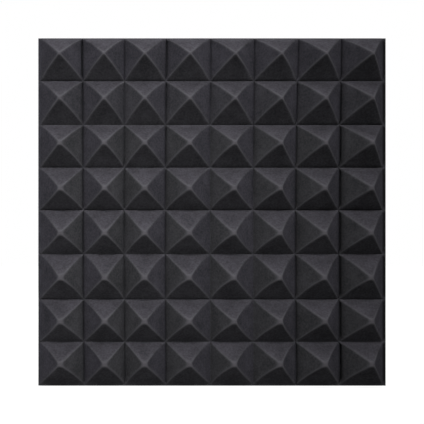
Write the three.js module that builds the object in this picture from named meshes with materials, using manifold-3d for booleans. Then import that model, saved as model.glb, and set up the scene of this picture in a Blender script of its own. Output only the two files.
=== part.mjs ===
// Acoustic foam panel: one square of open-cell foam whose front is cut into rows of pyramids,
// with five double-sided pads on its back, each still covered by its release liner.
//
// Millimetres. +X is right and +Z is up, as seen from the front. The pyramids point along -Y, and
// the wall is the plane y = 0, which the outer faces of the liners lie on. The origin is the
// centre of the panel on that plane.

import * as THREE from "three";
import { mergeGeometries, mergeVertices } from "three/addons/utils/BufferGeometryUtils.js";
import Module from "manifold-3d";

// Foam block: a square slab whose front is cut down to the valleys between the pyramids.
const panelSide = 500;
const panelThickness = 50;
const valleyHeight = 20;
const tipRadius = 3;

// The cuts are not quite evenly spaced, and the tips are not quite in the middle of their cells.
// Columns run from left to right and rows from the bottom up, and an even cell's share is 1.
const columnWidthShares = [1.02, 0.955, 0.955, 1.05, 0.995, 0.985, 1.0, 1.04];
const rowHeightShares = [1.01, 0.98, 1.04, 1.005, 0.995, 0.98, 1.01, 0.98];
const columnTipShares = [0.545, 0.55, 0.515, 0.53, 0.515, 0.56, 0.55, 0.575];
const rowTipShares = [0.575, 0.545, 0.505, 0.49, 0.49, 0.5, 0.505, 0.495];

// Slits: the blade leaves a narrow slit along the foot of each pyramid's face. It closes before
// the corner where four pyramids meet, and the panel's own edges run down the middle of one.
const slitWidth = 2;
const slitDepth = 6;
const slitTaper = 8;
const slitCornerGap = 3;

// Adhesive pads: die-cut squares of double-sided foam tape, one near each corner and one in the
// middle.
const padSide = 50;
const padThickness = 1;
const padCornerRadius = 3;
const padEdgeGap = 30;

// Release liners: silicone-coated paper the size of the pad, with a pull tab at the lower edge.
const linerThickness = 0.3;
const tabWidth = 22;
const tabLength = 12;
const tabCornerRadius = 5;

const foamMaterial = new THREE.MeshStandardMaterial({ color: 0x3c3b3f, roughness: 0.95, metalness: 0 });
const padMaterial = new THREE.MeshStandardMaterial({ color: 0xe9e8e2, roughness: 0.8, metalness: 0 });
const linerMaterial = new THREE.MeshStandardMaterial({ color: 0xd8c79a, roughness: 0.55, metalness: 0 });

const wasm = await Module();
wasm.setup();

function solidOf(geometry) {
  const bare = geometry.clone();
  bare.deleteAttribute("normal");
  bare.deleteAttribute("uv");
  const merged = mergeVertices(bare);
  const mesh = new wasm.Mesh({
    numProp: 3,
    vertProperties: new Float32Array(merged.attributes.position.array),
    triVerts: new Uint32Array(merged.index.array),
  });
  return new wasm.Manifold(mesh);
}

function geometryOf(solid) {
  const mesh = solid.getMesh();
  const geometry = new THREE.BufferGeometry();
  geometry.setAttribute("position", new THREE.BufferAttribute(new Float32Array(mesh.vertProperties), 3));
  geometry.setIndex(new THREE.BufferAttribute(new Uint32Array(mesh.triVerts), 1));
  geometry.computeVertexNormals();
  return geometry;
}

const group = new THREE.Group();

function addPiece(name, geometry, material, x, y, z) {
  const piece = new THREE.Mesh(geometry, material);
  piece.name = name;
  piece.position.set(x, y, z);
  group.add(piece);
}

// Where the cuts cross the panel, from one edge to the other.
function cutLines(shares) {
  const total = shares.reduce((sum, share) => sum + share, 0);
  const lines = [-panelSide / 2];
  for (const share of shares) {
    lines.push(lines.at(-1) + (share / total) * panelSide);
  }
  lines[shares.length] = panelSide / 2;
  return lines;
}

const columnLines = cutLines(columnWidthShares);
const rowLines = cutLines(rowHeightShares);

// The saw-tooth section of the block, across the panel and up from its back. Each tooth has two
// straight flanks that run into a round tip.
function toothSection(lines, tipShares) {
  const section = new THREE.Shape();
  section.moveTo(lines[0], 0);
  section.lineTo(lines.at(-1), 0);
  section.lineTo(lines.at(-1), valleyHeight);
  const centreHeight = panelThickness - tipRadius;
  for (let i = tipShares.length - 1; i >= 0; i -= 1) {
    const left = lines[i];
    const right = lines[i + 1];
    const tip = left + (right - left) * tipShares[i];
    const drop = valleyHeight - centreHeight;
    const rightStart = Math.atan2(drop, right - tip);
    const rightTurn = Math.acos(tipRadius / Math.hypot(drop, right - tip));
    const leftStart = Math.atan2(drop, left - tip) + 2 * Math.PI;
    const leftTurn = Math.acos(tipRadius / Math.hypot(drop, left - tip));
    section.absarc(tip, centreHeight, tipRadius, rightStart + rightTurn, leftStart - leftTurn, false);
    section.lineTo(left, valleyHeight);
  }
  return section;
}

// A section drawn across the panel and up from its back, drawn out over the panel's whole side.
function drawnOut(section) {
  const tipSteps = 2;
  const geometry = new THREE.ExtrudeGeometry(section, {
    depth: panelSide,
    bevelEnabled: false,
    curveSegments: tipSteps,
  });
  geometry.translate(0, 0, -panelSide / 2);
  geometry.rotateX(Math.PI);
  return geometry;
}

const acrossPrism = drawnOut(toothSection(columnLines, columnTipShares));
const upPrism = drawnOut(toothSection(rowLines, rowTipShares));
upPrism.rotateY(-Math.PI / 2);

// One slit: a long six-sided blade that comes to a point at both ends, standing on the slit's floor.
function slitBlade(length) {
  const outline = new THREE.Shape([
    new THREE.Vector2(-length / 2, 0),
    new THREE.Vector2(-length / 2 + slitTaper, -slitWidth / 2),
    new THREE.Vector2(length / 2 - slitTaper, -slitWidth / 2),
    new THREE.Vector2(length / 2, 0),
    new THREE.Vector2(length / 2 - slitTaper, slitWidth / 2),
    new THREE.Vector2(-length / 2 + slitTaper, slitWidth / 2),
  ]);
  const geometry = new THREE.ExtrudeGeometry(outline, {
    depth: panelThickness - valleyHeight + slitDepth,
    bevelEnabled: false,
  });
  geometry.rotateX(Math.PI / 2);
  geometry.translate(0, slitDepth - valleyHeight, 0);
  return geometry;
}

function slitBlades() {
  const blades = [];
  for (const x of columnLines) {
    for (let row = 0; row < rowLines.length - 1; row += 1) {
      const blade = slitBlade(rowLines[row + 1] - rowLines[row] - 2 * slitCornerGap);
      blade.rotateY(Math.PI / 2);
      blade.translate(x, 0, (rowLines[row] + rowLines[row + 1]) / 2);
      blades.push(blade);
    }
  }
  for (const z of rowLines) {
    for (let column = 0; column < columnLines.length - 1; column += 1) {
      const blade = slitBlade(columnLines[column + 1] - columnLines[column] - 2 * slitCornerGap);
      blade.translate((columnLines[column] + columnLines[column + 1]) / 2, 0, z);
      blades.push(blade);
    }
  }
  return mergeGeometries(blades);
}

// Foam panel: cut one way, then the other, so that the two sets of teeth leave pyramids.
const foamBack = -(padThickness + linerThickness);
const pyramids = solidOf(acrossPrism).intersect(solidOf(upPrism));
const foam = pyramids.subtract(solidOf(slitBlades()));
addPiece("foam_panel", geometryOf(foam), foamMaterial, 0, foamBack, 0);

function squareOutline(outline) {
  const inner = padSide / 2 - padCornerRadius;
  outline.absarc(inner, -inner, padCornerRadius, -Math.PI / 2, 0, false);
  outline.absarc(inner, inner, padCornerRadius, 0, Math.PI / 2, false);
  outline.absarc(-inner, inner, padCornerRadius, Math.PI / 2, Math.PI, false);
  outline.absarc(-inner, -inner, padCornerRadius, Math.PI, 1.5 * Math.PI, false);
  return outline;
}

// A flat sheet whose outer face is at y = 0, facing the wall.
function flatSheet(outline, thickness) {
  const cornerSteps = 3;
  const geometry = new THREE.ExtrudeGeometry(outline, {
    depth: thickness,
    bevelEnabled: false,
    curveSegments: cornerSteps,
  });
  geometry.rotateX(Math.PI / 2);
  return geometry;
}

const padSheet = flatSheet(squareOutline(new THREE.Shape()), padThickness);

function linerOutline() {
  const outline = new THREE.Shape();
  const tabInner = tabWidth / 2 - tabCornerRadius;
  const tabCentre = -padSide / 2 - tabLength + tabCornerRadius;
  outline.moveTo(-tabWidth / 2, -padSide / 2);
  outline.absarc(-tabInner, tabCentre, tabCornerRadius, Math.PI, 1.5 * Math.PI, false);
  outline.absarc(tabInner, tabCentre, tabCornerRadius, 1.5 * Math.PI, 2 * Math.PI, false);
  outline.lineTo(tabWidth / 2, -padSide / 2);
  return squareOutline(outline);
}

const linerSheet = flatSheet(linerOutline(), linerThickness);

// Pads and liners, placed from the panel's edges. The liner hangs from the top edge of its pad.
const padReach = panelSide / 2 - padEdgeGap - padSide / 2;
const padPlaces = {
  centre: [0, 0],
  top_left: [-padReach, padReach],
  top_right: [padReach, padReach],
  bottom_left: [-padReach, -padReach],
  bottom_right: [padReach, -padReach],
};

for (const [place, [x, z]] of Object.entries(padPlaces)) {
  addPiece(`adhesive_pad_${place}`, padSheet, padMaterial, x, -linerThickness, z);
  addPiece(`release_liner_${place}`, linerSheet, linerMaterial, x, 0, z);
}

export default group;
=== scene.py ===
import math

import bmesh
import bpy
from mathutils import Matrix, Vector, noise


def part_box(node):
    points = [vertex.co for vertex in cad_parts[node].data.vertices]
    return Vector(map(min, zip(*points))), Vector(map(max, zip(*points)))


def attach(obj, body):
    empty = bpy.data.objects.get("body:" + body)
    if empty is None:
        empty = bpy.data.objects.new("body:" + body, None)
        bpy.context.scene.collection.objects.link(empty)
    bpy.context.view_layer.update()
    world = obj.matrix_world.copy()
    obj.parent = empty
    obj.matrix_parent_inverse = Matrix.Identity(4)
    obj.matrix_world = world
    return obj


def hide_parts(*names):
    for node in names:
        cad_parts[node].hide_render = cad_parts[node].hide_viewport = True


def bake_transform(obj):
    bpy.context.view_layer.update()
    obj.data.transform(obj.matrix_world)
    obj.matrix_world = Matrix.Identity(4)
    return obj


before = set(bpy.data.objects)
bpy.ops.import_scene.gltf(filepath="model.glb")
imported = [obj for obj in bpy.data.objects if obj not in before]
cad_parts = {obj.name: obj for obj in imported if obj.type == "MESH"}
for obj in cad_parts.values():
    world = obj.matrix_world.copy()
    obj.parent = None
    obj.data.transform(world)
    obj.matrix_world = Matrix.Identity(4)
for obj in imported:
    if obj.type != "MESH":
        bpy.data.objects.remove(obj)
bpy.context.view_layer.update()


# Camera
# The photograph looks square at the panel, from left of and below its middle. The plane of the
# valleys between the pyramids is where the panel's outline and its grooves were measured.

foam_low, foam_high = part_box("foam_panel")
panel_side = foam_high.x - foam_low.x
foam_back = foam_high.y
valley_height = 0.020
valley_plane = foam_back - valley_height

photo_pixels = 424
panel_pixels = 347.4
foot_pixel = (150, 248)
camera_gap = 0.912
sensor_width = 36
metres_per_pixel = panel_side / panel_pixels

camera_data = bpy.data.cameras.new("photo_camera")
camera_data.sensor_width = sensor_width
camera_data.lens = sensor_width * camera_gap / (photo_pixels * metres_per_pixel)
camera_data.shift_x = 0.5 - foot_pixel[0] / photo_pixels
camera_data.shift_y = foot_pixel[1] / photo_pixels - 0.5
camera_data.clip_start = 0.01
camera = bpy.data.objects.new("photo_camera", camera_data)
camera.location = (
    (foot_pixel[0] - photo_pixels / 2) * metres_per_pixel,
    valley_plane - camera_gap,
    (photo_pixels / 2 - foot_pixel[1]) * metres_per_pixel,
)
camera.rotation_euler = (math.pi / 2, 0, 0)
bpy.context.scene.collection.objects.link(camera)
bpy.context.scene.camera = camera


# Foam panel
# One block of charcoal open-cell polyurethane foam. Its front is cut both ways into pyramids with
# blunt tips and soft ridges, and a narrow slit runs along the foot of each face.

# Columns count from the left and rows from the bottom: their shares of the panel's side, and how
# far across its cell each tip stands.
column_width_shares = [1.02, 0.955, 0.955, 1.05, 0.995, 0.985, 1.0, 1.04]
row_height_shares = [1.01, 0.98, 1.04, 1.005, 0.995, 0.98, 1.01, 0.98]
column_tip_shares = [0.540, 0.548, 0.504, 0.511, 0.500, 0.540, 0.539, 0.558]
row_tip_shares = [0.562, 0.532, 0.488, 0.477, 0.477, 0.496, 0.501, 0.500]

# The blade wanders and the foam gives, so each groove lies a little off its place. At the panel's
# borders the first groove lies inwards, with the half of a slit beside it.
column_line_shifts = [
    0.0022, 0.0013, 0.0004, -0.0002, -0.0015, -0.0016, -0.0031, -0.0031, -0.0045,
]
row_line_shifts = [0.0022, 0.0004, 0.0001, 0.0002, 0.0008, -0.0004, -0.0004, -0.0004, -0.0008]

# Each upright groove also curves: at the panel's bottom and top it is this much further right.
low_wanders = [0, 0.0017, 0.0012, 0.0009, 0.0006, 0.0003, 0.0014, 0.0012, 0]
high_wanders = [0, -0.0013, 0.0003, 0.0015, 0.0009, 0.0014, 0.0050, 0.0041, 0]
wander_turn = 0.45

# The pyramids lean: halfway up its flanks, each is this far to the right, or up. The upper rows
# lean less to the side, and the top one not at all.
column_leans = [0.0010, 0.0009, -0.0010, -0.0018, -0.0028, -0.0024, -0.0010, -0.0004]
row_leans = [0.0013, 0.0002, 0.0024, 0.0006, 0.0009, 0.0017, 0.0017, 0.0020]
lean_shares = [1, 1, 1, 1, 1, 0.75, 0.3, 0]

# The tips of a row also bend away from a line left of the middle, by a share of their distance
# from it, or towards it where the share is below nothing.
bend_line = -0.089
tip_bends = [-0.003, -0.004, -0.007, -0.0065, -0.0035, 0.0, 0.001, 0.003]
bend_start_share = 0.35

# Each half of a cell has the slit's middle, its floor and its rim, and then steps up the flank,
# closer together near its tip.
wide_steps = 12
tip_steps = 4
flank_start = 3
half_steps = flank_start + wide_steps + tip_steps
first_flank_share = 0.085
tip_start_share = 0.87


def cut_lines(shares, shifts=None):
    lines = [-panel_side / 2]
    for share in shares:
        lines.append(lines[-1] + share / sum(shares) * panel_side)
    return [line + shift for line, shift in zip(lines, shifts or [0] * len(lines))]


def grid_steps(even_lines, lines, tip_shares, leans):
    """For each grid line across the panel: its groove's number, direction, run, lean and step."""
    steps = []
    for cell, (tip_share, lean) in enumerate(zip(tip_shares, leans)):
        tip = even_lines[cell] + (even_lines[cell + 1] - even_lines[cell]) * tip_share
        for step in range(half_steps):
            steps.append((cell, 1, tip - lines[cell], lean, step))
        for step in range(half_steps, 0, -1):
            steps.append((cell + 1, -1, lines[cell + 1] - tip, lean, step))
    steps.append((len(tip_shares), -1, lines[-1] - tip, lean, 0))
    return steps


def flank_share(step):
    """How far up its flank a grid line lies, from 0 at the groove to 1 at the tip."""
    step -= flank_start
    if step < 0:
        return 0
    if step <= wide_steps:
        return first_flank_share + (tip_start_share - first_flank_share) * step / wide_steps
    return tip_start_share + (1 - tip_start_share) * (step - wide_steps) / tip_steps


def past_groove(grid_step):
    """Whether a grid line lies right of its groove, or above it, and not left of or below it."""
    _, direction, *_ = grid_step
    return direction > 0


def cell_of(grid_step):
    line, *_ = grid_step
    return line if past_groove(grid_step) else line - 1


def plain_place(grid_step, lines):
    line, direction, run, _, step = grid_step
    return lines[line] + direction * (run * flank_share(step))


def cell_share_at(place, lines):
    """How far along its cell a place is, from 0 to 1."""
    for low, high in zip(lines, lines[1:]):
        if place <= high:
            return (place - low) / (high - low)
    return 1.0


def smooth(t):
    t = min(max(t, 0.0), 1.0)
    return t * t * (3 - 2 * t)


def wandered(lines, up_share):
    """Where the upright grooves are, at a share of the way up the panel."""
    low = max(1 - up_share / wander_turn, 0) ** 2
    high = max((up_share - wander_turn) / (1 - wander_turn), 0) ** 2
    return [x + low * a + high * b for x, a, b in zip(lines, low_wanders, high_wanders)]


def bent(grid_step, row_step, lines_here):
    """The same step of a grid line where its tip is bent, within the row that a row step is in."""
    line, direction, run, lean, step = grid_step
    row = cell_of(row_step)
    *_, up_step = row_step
    tip = column_lines[line] + direction * run
    bend_share = smooth(flank_share(up_step) / bend_start_share)
    bent_run = run + direction * tip_bends[row] * (tip - bend_line) * bend_share
    bent_run -= direction * (lines_here[line] - column_lines[line])
    bent_lean = lean * (1 + (lean_shares[row] - 1) * bend_share)
    return line, direction, bent_run, bent_lean, step


# Half the width of each upright slit at the panel's bottom and top, from left to right, and of
# each level slit at its left and right, from the bottom up. Below nothing, a slit stays closed.
column_slit_halves = [
    (0.0002, 0.0002), (0.0005, 0.0010), (0.00035, 0.0004), (0.0004, 0.0010), (-0.0001, 0.0005),
    (0.0, 0.0006), (0.0006, 0.0005), (0.0011, 0.0005), (0.0010, 0.0010),
]
row_slit_halves = [
    (0.0002, 0.0002), (0.0, 0.0), (0.0001, 0.0001), (0.0, 0.0), (0.0004, 0.0005),
    (0.0001, 0.0003), (0.0, 0.0001), (0.0001, 0.0), (0.0001, 0.0001),
]

# How far each upright slit lies to the right of its groove.
column_slit_offsets = [0, -0.0010, 0.0002, 0.0007, 0.0010, 0.0020, 0.0024, 0.0024, 0]

# From its full half width up, a slit is as deep as it gets. It closes towards the corners of each
# cell, over a share of the cell's side.
full_slit_half = 0.0009
least_slit_half = 0.0001
slit_closing = 0.10
slit_depth = 0.005
# At the borders the half slit is nearly flat, and its dark is painted shade.
border_slit_depth = 0.0002
slit_floor_share = 0.7
least_step = 0.00035

# Where an upright groove has no slit, it is a soft fold this wide from its middle.
fold_half = 0.0008

# How dark the painted shade in a slit and on its rim is, and how far that painted shadow reaches on
# the face to the right of it, or above it. On the face across the slit it reaches less far.
slit_shade = 0.60
border_slit_shade = 1.0
rim_shade = 0.50
shade_width = 0.0055
across_shade_width = shade_width / 3

# The tips are sharper near the panel's top, and the ridges are soft.
low_tip_radius = 0.0062
high_tip_radius = 0.0018
ridge_softness = 0.0012
rise = foam_back - foam_low.y - valley_height


def slit_half(halves, along):
    """Half of a slit's width where it is along (0 to 1) the panel."""
    return max(halves[0] + (halves[1] - halves[0]) * along ** 3, 0)


def closing(share):
    """How open a slit is at a share of its cell's side: it closes at both corners."""
    return smooth(share / slit_closing) * smooth((1 - share) / slit_closing)


def tip_radius_at(up_share):
    return low_tip_radius + (high_tip_radius - low_tip_radius) * up_share ** 3


def flank_height(distance, run, tip_radius):
    """Height of a flank, straight and then round to its tip, at a distance from its foot."""
    drop = rise - tip_radius
    to_centre = math.hypot(run, drop)
    angle = math.atan2(drop, run) + math.asin(tip_radius / to_centre)
    touch = math.sqrt(to_centre ** 2 - tip_radius ** 2) * math.cos(angle)
    if distance <= touch:
        return distance * math.tan(angle)
    return drop + math.sqrt(max(tip_radius ** 2 - (run - distance) ** 2, 0))


def soft_lower(a, b):
    """The lower of two heights, rounded off where they are alike."""
    overlap = max(ridge_softness - abs(a - b), 0) / ridge_softness
    return min(a, b) - overlap ** 2 * ridge_softness / 4


def cross_section(grid_step, lines, offsets, halves, fold, along, cell_share, tip_radius):
    """A grid line's place across the panel, its flank's height there, and its slit's painted shade.
    """
    line, direction, run, lean, step = grid_step
    half = slit_half(halves[line], along) * closing(cell_share)
    openness = min(half / full_slit_half, 1)
    if line in (0, len(lines) - 1):
        offset, rim = abs(lines[line]) - panel_side / 2, 0
        depth, floor_shade = border_slit_depth, border_slit_shade
    else:
        offset = direction * offsets[line] * openness * closing(cell_share)
        rim = offset + max(half, fold * (1 - openness), least_slit_half)
        depth, floor_shade = slit_depth, slit_shade
    foot = flank_height(max(rim, 0), run, tip_radius)
    if step < flank_start - 1:
        across = step * slit_floor_share
        reach = offset + across * (rim - offset)
        hollow = foot * (1 + across ** 2) / 2
        height = hollow * (1 - openness) - depth * openness
        return lines[line] + direction * reach, height, openness * floor_shade
    if step == flank_start - 1:
        return lines[line] + direction * rim, foot, openness ** 2 * rim_shade
    share = flank_share(step)
    bulge = direction * lean * 4 * share * (1 - share)
    reach = max(run * share + bulge, rim + (step - flank_start + 1) * least_step)
    shaded = shade_width if direction > 0 else across_shade_width
    shade = openness ** 2 * rim_shade * max(1 - (reach - rim) / shaded, 0) if rim > 0 else 0
    return lines[line] + direction * reach, flank_height(reach - bulge, run, tip_radius), shade


# How strong the painted highlight on the ridges is at the foot and at the tip: the lower ones, and
# the upper ones beside a side face that is turned in, or out, from a line two columns in from the
# left. The highlighted strip widens towards the tip.
outward_columns = 2
lower_highlight = (0.50, 1.0)
upper_in_highlight = (0.26, 0.70)
upper_out_highlight = (0.02, 0.55)
highlight_width = 0.0026
tip_widening = 0.3
highlight_start_share = 0.3
highlight_growth_share = 0.65
ridge_highlight_start = 0.004

# The tips get a painted highlight too, down to a depth below the highest place, and the upper faces
# a little painted light at the foot, up to a height.
tip_highlight = 0.7
tip_highlight_depth = 0.0028
tip_highlight_growth = 0.0026
foot_light = 0.15
foot_light_height = 0.007


def turned_out(column_step):
    return past_groove(column_step) == (cell_of(column_step) < outward_columns)


def ridge_highlight(on_lower, on_outer_side, near_tip):
    upper_highlight = upper_out_highlight if on_outer_side else upper_in_highlight
    low_highlight, high_highlight = lower_highlight if on_lower else upper_highlight
    return low_highlight + (high_highlight - low_highlight) * near_tip


def highlight_at(height, across_height, up_height, on_lower, on_outer_side, side_part):
    """How much painted highlight the foam has on a ridge, a tip or a foot, whichever is most."""
    near_tip = smooth((height / rise - highlight_start_share) / highlight_growth_share)
    strip_width = highlight_width * (1 + tip_widening * near_tip)
    on_ridge = max(1 - abs(across_height - up_height) / strip_width, 0)
    on_ridge *= smooth(height / ridge_highlight_start) * ridge_highlight(on_lower, on_outer_side, near_tip)
    on_tip = tip_highlight * smooth((height - rise + tip_highlight_depth) / tip_highlight_growth)
    on_foot = (1 - side_part) * foot_light * max(1 - up_height / foot_light_height, 0)
    return max(on_ridge, on_tip, 0 if on_lower else on_foot)


# The side faces, and in part the lower ones, get a painted shade, a little darker and greyer than
# the upper ones. The side faces that are turned out get a painted violet sheen, and above the sixth
# row more and more are all.
lower_face_shade = 0.75
side_blend_height = 0.0048
last_plain_row = 5
violet_growth_rows = 2


def violet_sheen_share(column_step, row_step):
    """How much painted violet sheen a side face has."""
    up_the_rows = max((cell_of(row_step) - last_plain_row) / violet_growth_rows, 0)
    return 1.0 if turned_out(column_step) else up_the_rows


# The slow waves and small lumps of a surface cut in soft foam, which fade out at the grooves.
wave_length = 0.016
wave_height = 0.00030
lump_length = 0.005
lump_height = 0.00010
lump_shift = Vector((7, 3, 5))
unevenness_start = 0.003


def foam_unevenness(place):
    waves = noise.noise(place / wave_length)
    lumps = noise.noise(place / lump_length + lump_shift)
    return wave_height * waves + lump_height * lumps


column_lines = cut_lines(column_width_shares, column_line_shifts)
row_lines = cut_lines(row_height_shares, row_line_shifts)
column_steps = grid_steps(
    cut_lines(column_width_shares), column_lines, column_tip_shares, column_leans
)
row_steps = grid_steps(cut_lines(row_height_shares), row_lines, row_tip_shares, row_leans)
no_offsets = [0] * len(row_lines)
no_fold = 0

bm = bmesh.new()
bmesh.ops.create_grid(
    bm,
    x_segments=len(column_steps) - 1,
    y_segments=len(row_steps) - 1,
    size=panel_side / 2,
)
painted_highlight = bm.verts.layers.float.new("painted_highlight")
painted_slit_shade = bm.verts.layers.float.new("painted_slit_shade")
painted_face_shade = bm.verts.layers.float.new("painted_face_shade")
painted_violet_sheen = bm.verts.layers.float.new("painted_violet_sheen")
bm.verts.ensure_lookup_table()
column_places = [plain_place(s, column_lines) for s in column_steps]
row_places = [plain_place(s, row_lines) for s in row_steps]
column_cell_shares = [cell_share_at(p, column_lines) for p in column_places]
row_cell_shares = [cell_share_at(p, row_lines) for p in row_places]
right_shares = [p / panel_side + 0.5 for p in column_places]
up_shares = [p / panel_side + 0.5 for p in row_places]
column_lines_at = [wandered(column_lines, s) for s in up_shares]
for number, vert in enumerate(bm.verts):
    row, column = divmod(number, len(column_steps))
    row_step, column_step, lines_here = row_steps[row], column_steps[column], column_lines_at[row]
    tip_radius = tip_radius_at(up_shares[row])
    x, across_height, across_shade = cross_section(
        bent(column_step, row_step, lines_here), lines_here, column_slit_offsets,
        column_slit_halves, fold_half, up_shares[row], row_cell_shares[row], tip_radius,
    )
    z, up_height, up_shade = cross_section(
        row_step, row_lines, no_offsets,
        row_slit_halves, no_fold, right_shares[column], column_cell_shares[column], tip_radius,
    )
    height = soft_lower(across_height, up_height)
    on_lower, on_outer_side = past_groove(row_step), turned_out(column_step)
    side_part = min(max(0.5 + (up_height - across_height) / side_blend_height, 0), 1)
    vert[painted_highlight] = highlight_at(
        height, across_height, up_height, on_lower, on_outer_side, side_part
    )
    vert[painted_slit_shade] = max(across_shade, up_shade)
    vert[painted_face_shade] = max(side_part, lower_face_shade if on_lower else 0)
    vert[painted_violet_sheen] = side_part * violet_sheen_share(column_step, row_step)
    height += foam_unevenness(Vector((x, 0, z))) * smooth(height / unevenness_start)
    vert.co = (x, valley_plane - height, z)

bmesh.ops.recalc_face_normals(bm, faces=bm.faces)
if sum(f.normal.y for f in bm.faces) > 0:
    bmesh.ops.reverse_faces(bm, faces=bm.faces)


def verts_in(geometry):
    return [g for g in geometry if isinstance(g, bmesh.types.BMVert)]


# The four cut edges go back to the wall side in steps, and one face closes the back.
side_steps = 3
for steps_left in range(side_steps, 0, -1):
    open_edges = [e for e in bm.edges if e.is_boundary]
    for vert in verts_in(bmesh.ops.extrude_edge_only(bm, edges=open_edges)["geom"]):
        vert.co.y += (foam_back - vert.co.y) / steps_left
        for layer in (painted_highlight, painted_slit_shade, painted_face_shade, painted_violet_sheen):
            vert[layer] = 0
open_edges = [e for e in bm.edges if e.is_boundary]
back = bmesh.ops.contextual_create(bm, geom=open_edges)["faces"]
bmesh.ops.recalc_face_normals(bm, faces=bm.faces)
bmesh.ops.triangulate(bm, faces=[f for f in bm.faces if f not in back], quad_method="LONG_EDGE")
bmesh.ops.triangulate(bm, faces=back)


def finished_piece(name, bm, crease_degrees):
    """A mesh object from a finished bmesh, smooth but for its creases."""
    mesh = bpy.data.meshes.new(name)
    bm.to_mesh(mesh)
    bm.free()
    mesh.shade_smooth()
    mesh.set_sharp_from_angle(angle=math.radians(crease_degrees))
    piece = bpy.data.objects.new(name, mesh)
    bpy.context.scene.collection.objects.link(piece)
    return piece


foam = finished_piece("acoustic_foam", bm, crease_degrees=72)


def add_node(tree, kind, values=None, **settings):
    made = tree.nodes.new(kind)
    for name, value in settings.items():
        setattr(made, name, value)
    for name, value in (values or {}).items():
        made.inputs[name].default_value = value
    return made


def new_material(name):
    material = bpy.data.materials.new(name)
    material.use_nodes = True
    tree = material.node_tree
    return material, tree, tree.nodes["Principled BSDF"]


# Uneven tone: slow blotches and fine grain, used by the foam, the tape and the paper.
uneven_tone = bpy.data.node_groups.new("uneven_tone", "ShaderNodeTree")
for socket in ("Blotch Size", "Grain Size", "Grain Part"):
    uneven_tone.interface.new_socket(socket, in_out="INPUT", socket_type="NodeSocketFloat")
uneven_tone.interface.new_socket("Tone", in_out="OUTPUT", socket_type="NodeSocketFloat")
group_in = add_node(uneven_tone, "NodeGroupInput")
group_out = add_node(uneven_tone, "NodeGroupOutput")
group_place = add_node(uneven_tone, "ShaderNodeTexCoord").outputs["Object"]


def sized_noise(tree, place_socket, size_socket, detail):
    per_metre = add_node(tree, "ShaderNodeMath", {0: 1.0}, operation="DIVIDE")
    grain = add_node(tree, "ShaderNodeTexNoise", {"Detail": detail, "Roughness": 0.55})
    tree.links.new(size_socket, per_metre.inputs[1])
    tree.links.new(per_metre.outputs[0], grain.inputs["Scale"])
    tree.links.new(place_socket, grain.inputs["Vector"])
    return grain.outputs["Fac"]


blotches = sized_noise(uneven_tone, group_place, group_in.outputs["Blotch Size"], detail=2)
grains = sized_noise(uneven_tone, group_place, group_in.outputs["Grain Size"], detail=3)
tone_mix = add_node(uneven_tone, "ShaderNodeMix")
uneven_tone.links.new(group_in.outputs["Grain Part"], tone_mix.inputs["Factor"])
uneven_tone.links.new(blotches, tone_mix.inputs["A"])
uneven_tone.links.new(grains, tone_mix.inputs["B"])
uneven_tone.links.new(tone_mix.outputs["Result"], group_out.inputs["Tone"])


def uneven_tone_in(tree, blotch_size, grain_size, grain_part):
    sizes = {"Blotch Size": blotch_size, "Grain Size": grain_size, "Grain Part": grain_part}
    return add_node(tree, "ShaderNodeGroup", sizes, node_tree=uneven_tone).outputs["Tone"]


def ramp_between(tree, factor, low, high, low_colour, high_colour):
    ramp = add_node(tree, "ShaderNodeValToRGB")
    ramp.color_ramp.elements[0].position = low
    ramp.color_ramp.elements[1].position = high
    ramp.color_ramp.elements[0].color = (*low_colour, 1)
    ramp.color_ramp.elements[1].color = (*high_colour, 1)
    tree.links.new(factor, ramp.inputs["Fac"])
    return ramp.outputs["Color"]


def add_bump(tree, height, strength, distance):
    bump = add_node(tree, "ShaderNodeBump", {"Strength": strength, "Distance": distance})
    tree.links.new(height, bump.inputs["Height"])
    return bump


def mesh_mask(tree, name):
    return add_node(tree, "ShaderNodeAttribute", attribute_name=name).outputs["Fac"]


def colour_over(tree, base, mask_name, colour):
    """A plain colour laid over another one as far as a mask of the mesh says."""
    mix = add_node(tree, "ShaderNodeMix", {"B": (*colour, 1)}, data_type="RGBA")
    tree.links.new(mesh_mask(tree, mask_name), mix.inputs["Factor"])
    tree.links.new(base, mix.inputs["A"])
    return mix.outputs["Result"]


foam_material, tree, shader = new_material("charcoal_foam")
shader.inputs["Roughness"].default_value = 0.95
shader.inputs["Specular IOR Level"].default_value = 0.0
body_colour = ramp_between(
    tree, uneven_tone_in(tree, blotch_size=0.022, grain_size=0.0028, grain_part=0.6),
    0.36, 0.64, (0.0408, 0.0398, 0.0455), (0.0735, 0.0697, 0.0818),
)

# The painted shade of the side and lower faces, from grey to violet where the painted sheen is,
# with a slow drift over them.
foam_place = add_node(tree, "ShaderNodeTexCoord").outputs["Object"]
hue_drift = add_node(tree, "ShaderNodeTexNoise", {"Scale": 32.0, "Detail": 1.0})
tree.links.new(foam_place, hue_drift.inputs["Vector"])
violet_part = add_node(tree, "ShaderNodeMix", {"Factor": 0.75})
tree.links.new(hue_drift.outputs["Fac"], violet_part.inputs["A"])
tree.links.new(mesh_mask(tree, "painted_violet_sheen"), violet_part.inputs["B"])
face_shade_hue = ramp_between(
    tree, violet_part.outputs["Result"], 0.0, 1.0, (0.868, 0.908, 0.835), (0.833, 0.839, 0.871)
)
face_shade_mix = add_node(tree, "ShaderNodeMix", data_type="RGBA", blend_type="MULTIPLY")
tree.links.new(mesh_mask(tree, "painted_face_shade"), face_shade_mix.inputs["Factor"])
tree.links.new(body_colour, face_shade_mix.inputs["A"])
tree.links.new(face_shade_hue, face_shade_mix.inputs["B"])

# Ridges and tips get a painted highlight, the upper faces painted light at their foot, and slits a
# painted shade that is nearly black.
highlight_colour = colour_over(tree, face_shade_mix.outputs["Result"], "painted_highlight", (0.115, 0.111, 0.122))
foam_colour = colour_over(tree, highlight_colour, "painted_slit_shade", (0.014, 0.014, 0.015))
tree.links.new(foam_colour, shader.inputs["Base Color"])

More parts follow.
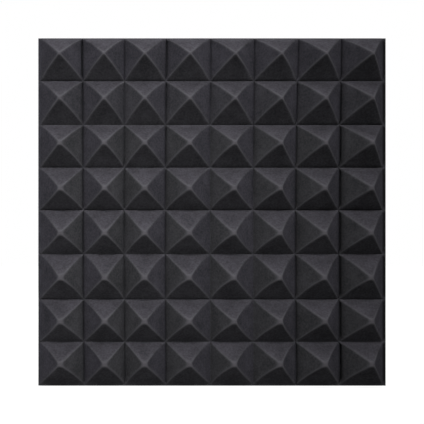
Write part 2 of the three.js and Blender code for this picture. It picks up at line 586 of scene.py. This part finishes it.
# The open cells, and the lumps that they stand in.
cells = add_node(tree, "ShaderNodeTexVoronoi", {"Scale": 1100.0}, feature="DISTANCE_TO_EDGE")
tree.links.new(foam_place, cells.inputs["Vector"])
cell_bump = add_bump(tree, cells.outputs["Distance"], strength=0.35, distance=0.0004)
lumps = add_node(tree, "ShaderNodeTexNoise", {"Scale": 350.0, "Detail": 3.0})
tree.links.new(foam_place, lumps.inputs["Vector"])
lump_bump = add_bump(tree, lumps.outputs["Fac"], strength=0.5, distance=0.0006)
tree.links.new(cell_bump.outputs["Normal"], lump_bump.inputs["Normal"])
tree.links.new(lump_bump.outputs["Normal"], shader.inputs["Normal"])

foam.data.materials.append(foam_material)
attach(foam, "panel")
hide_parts("foam_panel")


# Adhesive pads
# Die-cut squares of white foam tape, tacky on both faces, pressed on the flat back near the four
# corners and in the middle.

places = ("centre", "top_left", "top_right", "bottom_left", "bottom_right")
pad_corner = 0.003


def coated_material(name, coat_weight, coat_roughness, tone_sizes, colours, bump_strength):
    """A satin sheet with a thin coat and an uneven tone, between two colours."""
    material, tree, shader = new_material(name)
    shader.inputs["Roughness"].default_value = 0.5
    shader.inputs["Coat Weight"].default_value = coat_weight
    shader.inputs["Coat Roughness"].default_value = coat_roughness
    tone = uneven_tone_in(tree, *tone_sizes)
    tree.links.new(ramp_between(tree, tone, 0.3, 0.7, *colours), shader.inputs["Base Color"])
    bump = add_bump(tree, tone, bump_strength, distance=0.0002)
    tree.links.new(bump.outputs["Normal"], shader.inputs["Normal"])
    return material


tape_material = coated_material(
    "white_foam_tape", coat_weight=0.25, coat_roughness=0.35, tone_sizes=(0.009, 0.0006, 0.6),
    colours=((0.70, 0.69, 0.65), (0.82, 0.81, 0.78)), bump_strength=0.25,
)


def flat_square(low, high):
    """One flat face over the x and z sides of a box, at its y nearest the viewer."""
    bm = bmesh.new()
    bmesh.ops.create_grid(bm, x_segments=1, y_segments=1, size=0.5)
    for vert in bm.verts:
        share = Vector((vert.co.x + 0.5, vert.co.y + 0.5))
        vert.co = (
            low.x + (high.x - low.x) * share.x,
            low.y,
            low.z + (high.z - low.z) * share.y,
        )
    return bm


def round_corners(bm, corners, radius):
    bmesh.ops.bevel(
        bm, geom=corners, offset=radius, segments=5, profile=0.5, affect="VERTICES", material=-1
    )


def thickened_piece(name, bm, back):
    """A piece from a flat sheet, made as thick as to reach its back plane."""
    for vert in verts_in(bmesh.ops.extrude_face_region(bm, geom=bm.faces[:])["geom"]):
        vert.co.y = back
    bmesh.ops.recalc_face_normals(bm, faces=bm.faces)
    return finished_piece(name, bm, crease_degrees=40)


for place in places:
    node = "adhesive_pad_" + place
    low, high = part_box(node)
    bm = flat_square(low, high)
    round_corners(bm, bm.verts[:], pad_corner)
    pad = thickened_piece("foam_tape_" + place, bm, high.y)
    pad.data.materials.append(tape_material)
    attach(pad, "panel")
    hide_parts(node)


# Release liners
# Silicone-coated kraft paper, one on each pad, with a rounded tab at the lower edge that a
# fingernail gets behind. Each liner is cut across into strips from its top edge down.

tab_width = 0.022
tab_length = 0.012
tab_corner = 0.005
bend_strips = 40
tolerance = 1e-6
paper_material = coated_material(
    "silicone_paper", coat_weight=0.3, coat_roughness=0.3, tone_sizes=(0.012, 0.0008, 0.5),
    colours=((0.60, 0.49, 0.27), (0.72, 0.61, 0.37)), bump_strength=0.2,
)


def cut_sheet(bm, place, normal):
    bmesh.ops.bisect_plane(
        bm, geom=bm.verts[:] + bm.edges[:] + bm.faces[:], plane_co=place, plane_no=normal
    )


for place in places:
    node = "release_liner_" + place
    low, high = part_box(node)
    middle = (low.x + high.x) / 2
    foot = low.z + tab_length
    bm = flat_square(Vector((low.x, low.y, foot)), high)
    round_corners(bm, bm.verts[:], pad_corner)
    for tab_side in (middle - tab_width / 2, middle + tab_width / 2):
        cut_sheet(bm, (tab_side, 0, 0), (1, 0, 0))
    tab_edges = [
        e for e in bm.edges
        if all(abs(v.co.z - foot) < tolerance for v in e.verts)
        and all(abs(v.co.x - middle) < tab_width / 2 + tolerance for v in e.verts)
    ]
    tab_ends = verts_in(bmesh.ops.extrude_edge_only(bm, edges=tab_edges)["geom"])
    for vert in tab_ends:
        vert.co.z = low.z
    round_corners(bm, tab_ends, tab_corner)
    for strip in range(1, bend_strips):
        cut_sheet(bm, (0, 0, high.z - strip * (high.z - low.z) / bend_strips), (0, 0, 1))
    liner = thickened_piece("paper_liner_" + place, bm, high.y)
    liner.data.materials.append(paper_material)
    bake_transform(liner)
    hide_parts(node)


# Lights
# Soft boxes with grids, so that each lights a pool with soft borders: the key halfway up, a near
# one high above the top rows, one in front, and one high on the right. The pools lie left of the
# panel's middle, so the light thins out to the right. The last box lights the back.

def add_soft_box(name, middle, turn_degrees, width, height, spread_degrees, watts):
    lamp_data = bpy.data.lights.new(name, "AREA")
    lamp_data.shape = "RECTANGLE"
    lamp_data.size = width
    lamp_data.size_y = height
    lamp_data.spread = math.radians(spread_degrees)
    lamp_data.energy = watts
    lamp = bpy.data.objects.new(name, lamp_data)
    lamp.location = middle
    lamp.rotation_euler = [math.radians(turn) for turn in turn_degrees]
    lamp.visible_camera = False
    bpy.context.scene.collection.objects.link(lamp)


for name, elevation, distance, aim, size, spread, watts in (
    ("key_box", 47, 2.2, (-0.17, -0.04), (0.7, 0.35), 34, 1.28),
    ("top_box", 75, 1.4, (-0.15, 0.15), (0.9, 0.3), 60, 1.04),
):
    slope = math.radians(elevation)
    towards = Vector((0, -math.cos(slope), math.sin(slope)))
    upwards = Vector((0, math.sin(slope), math.cos(slope)))
    middle = towards * distance + upwards * aim[1] + Vector((aim[0], 0, 0))
    add_soft_box(name, middle, (90 - elevation, 0, 0), *size, spread, watts)
add_soft_box("front_box", (-0.14, -1.6, 0.04), (90, 0, 0), 0.45, 0.9, 24, 0.36)
add_soft_box("side_box", (1.3, -1.0, 1.0), (58.6, 0, 52.4), 0.8, 0.8, 60, 0.88)
add_soft_box("back_box", (-1.1, 1.6, 1.2), (-60, 0, 35), 1.6, 1.6, 120, 30)

# The studio around is white where the camera sees it, also in a gloss or through something clear,
# and gives the foam a low even fill.
world = bpy.data.worlds.new("pale_studio")
bpy.context.scene.world = world
world.use_nodes = True
tree = world.node_tree
fill = tree.nodes["Background"]
fill.inputs["Color"].default_value = (1, 1, 1, 1)
fill.inputs["Strength"].default_value = 0.22
seen = add_node(tree, "ShaderNodeBackground", {"Color": (1, 1, 1, 1), "Strength": 1.0})
rays = add_node(tree, "ShaderNodeLightPath")
glossy_too = add_node(tree, "ShaderNodeMath", operation="MAXIMUM")
clear_too = add_node(tree, "ShaderNodeMath", operation="MAXIMUM")
mix = add_node(tree, "ShaderNodeMixShader")
tree.links.new(rays.outputs["Is Camera Ray"], glossy_too.inputs[0])
tree.links.new(rays.outputs["Is Glossy Ray"], glossy_too.inputs[1])
tree.links.new(glossy_too.outputs[0], clear_too.inputs[0])
tree.links.new(rays.outputs["Is Transmission Ray"], clear_too.inputs[1])
tree.links.new(clear_too.outputs[0], mix.inputs[0])
tree.links.new(fill.outputs[0], mix.inputs[1])
tree.links.new(seen.outputs[0], mix.inputs[2])
tree.links.new(mix.outputs[0], tree.nodes["World Output"].inputs["Surface"])


# Floor
# A plain pale studio floor under the panel's lower edge. It shows white and keeps the shadow.

floor_side = 12.0
shadow_reach = (0.5, 1.1)
shadow_white = 0.88
bm = bmesh.new()
bmesh.ops.create_grid(bm, x_segments=1, y_segments=1, size=floor_side / 2)
for vert in bm.verts:
    vert.co.z = foam_low.z
floor = finished_piece("studio_floor", bm, crease_degrees=30)
floor_material, tree, shader = new_material("pale_floor")
shader.inputs["Base Color"].default_value = (0.25, 0.25, 0.25, 1)
shader.inputs["Roughness"].default_value = 0.9
shader.inputs["Specular IOR Level"].default_value = 0.0
shader.inputs["Emission Color"].default_value = (1, 1, 1, 1)
floor_place = add_node(tree, "ShaderNodeTexCoord")
from_middle = add_node(tree, "ShaderNodeVectorMath", operation="LENGTH")
white_part = add_node(
    tree, "ShaderNodeMapRange",
    {
        "From Min": shadow_reach[0], "From Max": shadow_reach[1],
        "To Min": shadow_white, "To Max": 1.0,
    },
    interpolation_type="SMOOTHSTEP",
)
rays = add_node(tree, "ShaderNodeLightPath")
seen_part = add_node(tree, "ShaderNodeMath", operation="MULTIPLY")
tree.links.new(floor_place.outputs["Object"], from_middle.inputs[0])
tree.links.new(from_middle.outputs["Value"], white_part.inputs["Value"])
tree.links.new(white_part.outputs["Result"], seen_part.inputs[0])
tree.links.new(rays.outputs["Is Camera Ray"], seen_part.inputs[1])
tree.links.new(seen_part.outputs[0], shader.inputs["Emission Strength"])
floor.data.materials.append(floor_material)


# Plain colours, with no film curve.
bpy.context.scene.view_settings.view_transform = "Standard"
